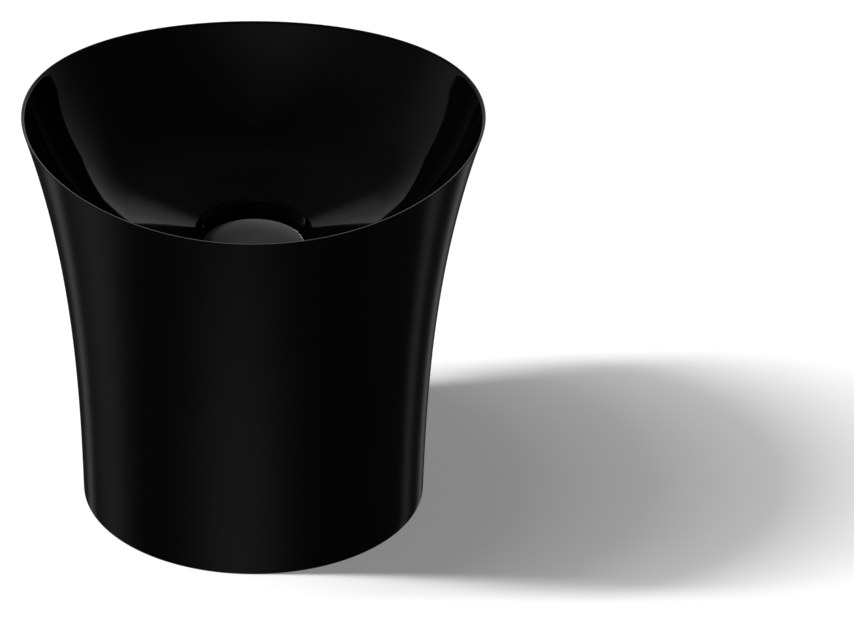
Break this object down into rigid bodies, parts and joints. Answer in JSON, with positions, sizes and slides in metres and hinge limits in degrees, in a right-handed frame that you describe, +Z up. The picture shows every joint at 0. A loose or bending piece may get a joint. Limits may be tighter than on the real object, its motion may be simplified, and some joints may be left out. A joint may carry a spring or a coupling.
{
  "type": "pedestal washbasin",
  "caption": "Drum-shaped gloss black washbasin with a flared saddle rim on its own short hollow pedestal, with a domed push-button waste and a bottle trap inside.",
  "frame": {"origin": "centre of the foot, on the surface that the basin stands on", "axes": "+Z up; the front faces -Y; +X to the right of someone who faces the basin's front from -Y; the rim is high at +X and -X and dips at the front and the back"},
  "size_m": [0.4, 0.3906, 0.373],
  "materials": {
    "enamel": "gloss black vitreous enamel on pressed steel",
    "galvanised": "zinc plated, dull",
    "spring_steel": "drawn wire, bright",
    "brass": "turned, satin",
    "chrome": "polished chrome plate",
    "rubber": "matt",
    "bitumen": "matt, grained",
    "plastic": "moulded"
  },
  "bodies": {
    "basin": {"apron": "enamel", "bowl": "enamel", "foot_ring": "galvanised", "fixing_nuts": "galvanised", "click_spring": "spring_steel", "bridge_nut": "brass", "backnut": "brass", "waste_body": "chrome", "inlet_nut": "chrome", "dip_tube": "chrome", "body_nut": "chrome", "trap_body": "chrome", "outlet_nut": "chrome", "outlet_pipe": "chrome", "base_seal": "rubber", "flange_gasket": "rubber", "tail_gasket": "rubber", "inlet_washer": "rubber", "body_washer": "rubber", "cup_gasket": "rubber", "outlet_washer": "rubber", "sound_pads": "bitumen", "cartridge_housing": "plastic", "cartridge_cap": "plastic", "slip_washer": "plastic"},
    "plunger": {"plunger": "brass"},
    "cam": {"click_cam": "plastic"},
    "cover": {"waste_cover": "enamel", "cover_hub": "brass", "cover_seal": "rubber"},
    "cup": {"trap_cup": "chrome"}
  },
  "joints": [
    {"name": "cover_travel", "type": "slide", "parent": "basin", "child": "plunger", "axis": [0, 0, 1], "range_m": [0, 0.01], "deforming": ["click_spring"]},
    {"name": "cam_turn", "type": "hinge", "parent": "plunger", "child": "cam", "pos_m": [0, 0, 0.2229], "axis": [0, 0, 1], "range_deg": [0, 45]},
    {"name": "cover_turn", "type": "hinge", "parent": "plunger", "child": "cover", "pos_m": [0, 0, 0.244], "axis": [0, 0, 1], "continuous": true},
    {"name": "cup_drop", "type": "slide", "parent": "basin", "child": "cup", "axis": [0, 0, -1], "range_m": [0, 0.058]}
  ],
  "couplings": [
    {"joint": "cam_turn", "follows": "cover_travel", "rad_per_m": 78.54}
  ]
}
